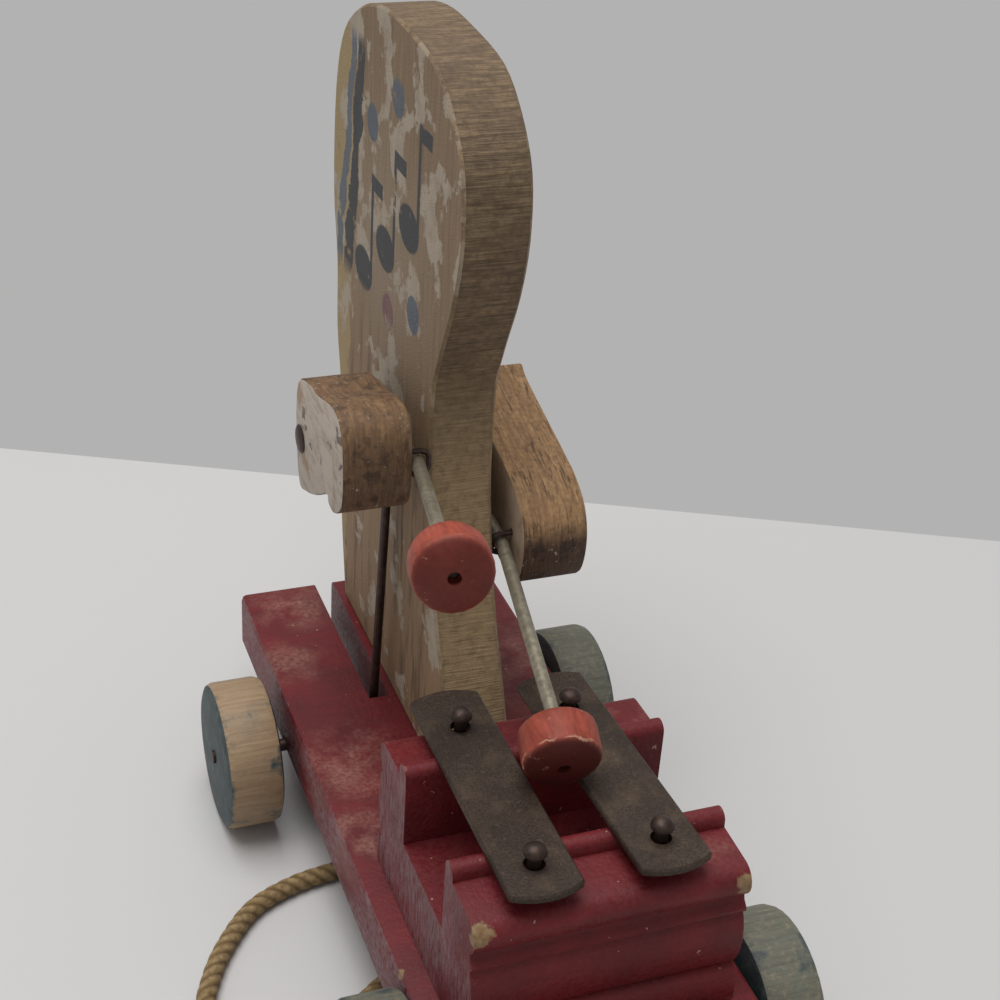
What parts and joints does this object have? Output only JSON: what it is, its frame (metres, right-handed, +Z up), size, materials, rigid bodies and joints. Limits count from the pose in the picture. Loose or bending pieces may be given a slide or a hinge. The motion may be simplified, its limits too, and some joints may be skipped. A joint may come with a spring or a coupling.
{
  "type": "musical pull toy",
  "caption": "Wooden pull toy: a cut-out animal figure with mallet arms that beat steel tone bars on a moulded stand as its wheeled base is pulled along.",
  "frame": {"origin": "on the ground under the middle of the toy's bounding box, the cord left out", "axes": "-Y towards the pulling end, +X towards the toy's left as it rolls, +Z up"},
  "size_m": [0.1468, 0.2497, 0.2389],
  "materials": {
    "red_paint": "glossy oil paint over wood, worn",
    "bare_pine": "bare sawn pine, worn paper print on its faces",
    "tone_bar_steel": "dulled, weathered",
    "dark_iron": "dark, oxidised",
    "plated_steel": "dull plating",
    "mallet_paint": "semi-gloss paint over turned wood, worn rim",
    "wheel_paint": "worn paint over wood, bare rim",
    "jute": "twisted jute, matt"
  },
  "bodies": {
    "chassis": {"base_board": "red_paint", "bar_stand": "red_paint", "figure_board": "bare_pine", "shoulder_spacer_left": "bare_pine", "shoulder_spacer_right": "bare_pine", "tone_bar_left": "tone_bar_steel", "tone_bar_right": "tone_bar_steel", "bar_nail_left_front": "dark_iron", "bar_nail_left_rear": "dark_iron", "bar_nail_right_front": "dark_iron", "bar_nail_right_rear": "dark_iron", "axle_staple_front_left": "dark_iron", "axle_staple_front_right": "dark_iron", "axle_staple_rear_left": "dark_iron", "axle_staple_rear_right": "dark_iron", "shoulder_pin": "dark_iron", "tow_eye": "dark_iron", "figure_screw_front": "plated_steel", "figure_screw_rear": "plated_steel", "stand_screw_left": "plated_steel", "stand_screw_right": "plated_steel", "pull_cord": "jute", "cord_knot_eye": "jute", "cord_knot_end": "jute"},
    "rear_axle": {"crank_axle": "dark_iron", "wheel_rear_left": "wheel_paint", "wheel_rear_right": "wheel_paint"},
    "front_axle_set": {"front_axle": "dark_iron", "wheel_front_left": "wheel_paint", "wheel_front_right": "wheel_paint"},
    "left_wire": {"drive_wire_left": "dark_iron"},
    "right_wire": {"drive_wire_right": "dark_iron"},
    "left_arm": {"arm_left": "bare_pine", "mallet_rod_left": "plated_steel", "mallet_head_left": "mallet_paint", "mallet_staple_left": "dark_iron", "drive_pin_left": "dark_iron"},
    "right_arm": {"arm_right": "bare_pine", "mallet_rod_right": "plated_steel", "mallet_head_right": "mallet_paint", "mallet_staple_right": "dark_iron", "drive_pin_right": "dark_iron"}
  },
  "joints": [
    {"name": "rear_axle_spin", "type": "hinge", "parent": "chassis", "child": "rear_axle", "pos_m": [0.0015, 0.056, 0.022], "axis": [1, 0, 0], "continuous": true},
    {"name": "front_axle_spin", "type": "hinge", "parent": "chassis", "child": "front_axle_set", "pos_m": [0.0015, -0.0772, 0.022], "axis": [1, 0, 0], "continuous": true},
    {"name": "left_wire_turn", "type": "hinge", "parent": "rear_axle", "child": "left_wire", "pos_m": [-0.0125, 0.056, 0.025], "axis": [1, 0, 0], "continuous": true},
    {"name": "right_wire_turn", "type": "hinge", "parent": "rear_axle", "child": "right_wire", "pos_m": [0.0155, 0.056, 0.019], "axis": [1, 0, 0], "continuous": true},
    {"name": "left_arm_swing", "type": "hinge", "parent": "chassis", "child": "left_arm", "pos_m": [0.0015, 0.065, 0.122], "axis": [1, 0, 0], "range_deg": [0, 24]},
    {"name": "right_arm_swing", "type": "hinge", "parent": "chassis", "child": "right_arm", "pos_m": [0.0015, 0.065, 0.122], "axis": [1, 0, 0], "range_deg": [-24, 0]}
  ],
  "couplings": [
    {"joint": "left_wire_turn", "follows": "rear_axle_spin", "ratio": -1},
    {"joint": "right_wire_turn", "follows": "rear_axle_spin", "ratio": -1},
    {"joint": "right_arm_swing", "follows": "left_arm_swing", "ratio": -1}
  ]
}
